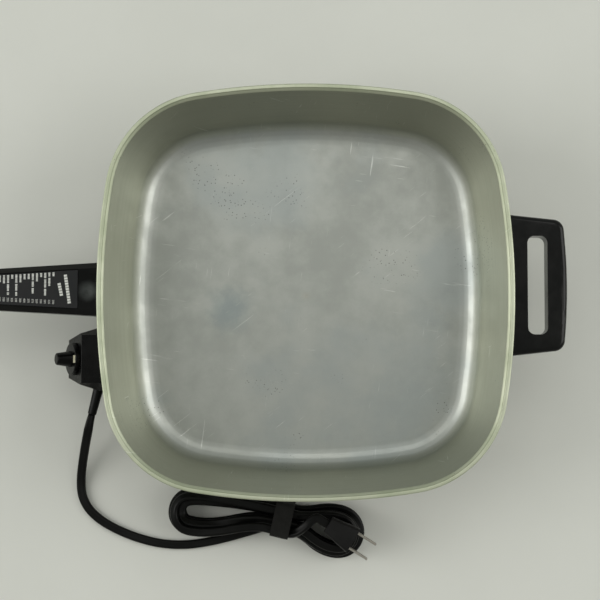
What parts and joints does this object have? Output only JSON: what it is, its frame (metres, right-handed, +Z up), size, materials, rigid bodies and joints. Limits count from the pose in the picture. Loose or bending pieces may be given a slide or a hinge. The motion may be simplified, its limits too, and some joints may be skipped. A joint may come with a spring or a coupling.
{
  "type": "electric skillet",
  "caption": "Square cast aluminium electric skillet with a long handle, helper handle, four legs and a plug-in heat control with dial, tied supply cord and plug.",
  "frame": {"origin": "on the standing surface, midway between the long handle's tip and the helper handle's outer edge, and midway across the pan", "axes": "+X from the long handle towards the helper handle, +Y across the pan away from the heat control's corner, +Z up"},
  "size_m": [0.475, 0.3439, 0.106],
  "materials": {
    "cast_aluminium": "aged brushed casting",
    "black_bakelite": "glossy moulded phenolic",
    "label_plate": "satin black plate with pale rules and numbers",
    "sheath_steel": "heat-tinted sheath",
    "pin_steel": "plated",
    "ceramic": "unglazed white ceramic",
    "guard_steel": "plain pressed steel",
    "screw_steel": "zinc plated",
    "brass": "dull",
    "cream_inlay": "satin",
    "cord_black": "ribbed flat heater cord",
    "tie_fabric": "woven band",
    "plug_black": "moulded",
    "prong_metal": "worn plated blades"
  },
  "bodies": {
    "skillet": {"pan": "cast_aluminium", "heating_element": "sheath_steel", "terminal_pins": "pin_steel", "terminal_insulators": "ceramic", "terminal_guard": "guard_steel", "guard_screws": "screw_steel", "leg_front_left": "black_bakelite", "leg_front_right": "black_bakelite", "leg_back_right": "black_bakelite", "leg_back_left": "black_bakelite", "leg_screws": "screw_steel", "main_handle": "black_bakelite", "handle_label_plate": "label_plate", "handle_heat_shield": "guard_steel", "handle_screw": "screw_steel", "helper_handle": "black_bakelite", "helper_handle_screws": "screw_steel"},
    "heat_control": {"control_lower_housing": "black_bakelite", "control_upper_housing": "black_bakelite", "control_housing_screws": "screw_steel", "probe_tube": "pin_steel", "probe_rod": "sheath_steel", "thermostat_frame": "guard_steel", "female_terminals": "brass", "contact_blades": "brass", "contact_points": "pin_steel", "cord_strain_relief": "cord_black", "lead_wires": "cord_black", "cord_free": "cord_black", "cord_hank": "cord_black", "cord_tie": "tie_fabric", "plug_body": "plug_black", "plug_prongs": "prong_metal"},
    "dial": {"dial_knob": "black_bakelite", "dial_pointer": "cream_inlay", "dial_shaft": "screw_steel", "dial_clip": "screw_steel"}
  },
  "joints": [
    {"name": "control_pull_out", "type": "slide", "parent": "skillet", "child": "heat_control", "axis": [-1, 0, 0], "range_m": [0, 0.09]},
    {"name": "dial_turn", "type": "hinge", "parent": "heat_control", "child": "dial", "pos_m": [-0.1195, -0.047, 0.04488], "axis": [-0.866, 0, 0.5], "range_deg": [-300, 0]}
  ]
}
